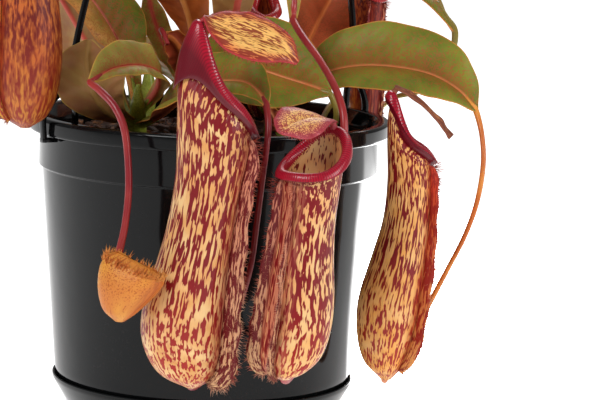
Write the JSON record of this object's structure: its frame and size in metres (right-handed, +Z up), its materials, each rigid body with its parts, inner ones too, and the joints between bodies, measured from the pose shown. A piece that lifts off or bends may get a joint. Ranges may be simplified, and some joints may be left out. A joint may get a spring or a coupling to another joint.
{
  "type": "potted pitcher plant",
  "caption": "Tropical pitcher plant in a black plastic hanging pot: leaves with tendrils that carry red-streaked hanging pitchers, soil, drip saucer and hooked hanger.",
  "frame": {"origin": "centre of the drip saucer's flat underside, on the pot's own axis", "axes": "+Z is up along the pot's axis, -Y is the front, where the two large pitchers hang before the pot, and +X is to the right when it is seen from the front"},
  "size_m": [0.2258, 0.2297, 0.3879],
  "materials": {
    "black_plastic": "black polypropylene with a soft gloss",
    "potting_soil": "dark brown mix of bark and peat, matt",
    "green_leaf": "leathery green leaf with a pale orange rib, half gloss",
    "olive_leaf": "brown-olive leaf underside with a red-brown rib",
    "russet_leaf": "red-brown leaf underside",
    "orange_leaf": "orange young leaf, softly hairy",
    "spotted_pitcher": "waxy cream pitcher with dark red streaks",
    "golden_pitcher": "waxy orange-yellow pitcher with red spots",
    "russet_pitcher": "waxy russet pitcher with dark mottling",
    "crimson_collar": "ribbed crimson collar, glossy as if wet"
  },
  "bodies": {
    "root": {"pot": "black_plastic", "drip_saucer": "black_plastic", "soil": "potting_soil", "hanger": "black_plastic", "stem_left": "green_leaf", "stem_right": "green_leaf", "stem_back": "green_leaf", "leaf_left_high": "green_leaf", "leaf_left_arched": "olive_leaf", "leaf_left_upright": "olive_leaf", "leaf_left_rear": "olive_leaf", "leaf_middle_front": "green_leaf", "leaf_middle_broad": "green_leaf", "leaf_right_large": "green_leaf", "leaf_right_behind": "green_leaf", "leaf_right_upright": "russet_leaf", "leaf_over_front": "olive_leaf", "leaf_left_top": "orange_leaf", "leaf_left_slim": "olive_leaf", "leaf_left_inner": "russet_leaf", "leaf_inner_low": "green_leaf", "leaf_middle_small": "green_leaf", "leaf_back_left": "green_leaf", "leaf_back_right": "green_leaf", "pitcher_front_left": "spotted_pitcher", "peristome_front_left": "crimson_collar", "lid_front_left": "spotted_pitcher", "pitcher_front_right": "spotted_pitcher", "peristome_front_right": "crimson_collar", "lid_front_right": "spotted_pitcher", "pitcher_right": "golden_pitcher", "peristome_right": "crimson_collar", "lid_right": "golden_pitcher", "pitcher_left": "russet_pitcher", "peristome_left": "crimson_collar", "lid_left": "russet_pitcher", "pitcher_inner_right": "russet_pitcher", "peristome_inner_right": "crimson_collar", "lid_inner_right": "russet_pitcher", "pitcher_inner_back": "russet_pitcher", "peristome_inner_back": "crimson_collar", "lid_inner_back": "russet_pitcher", "pitcher_back_right": "golden_pitcher", "peristome_back_right": "crimson_collar", "lid_back_right": "golden_pitcher", "young_pitcher": "orange_leaf"}
  },
  "joints": []
}
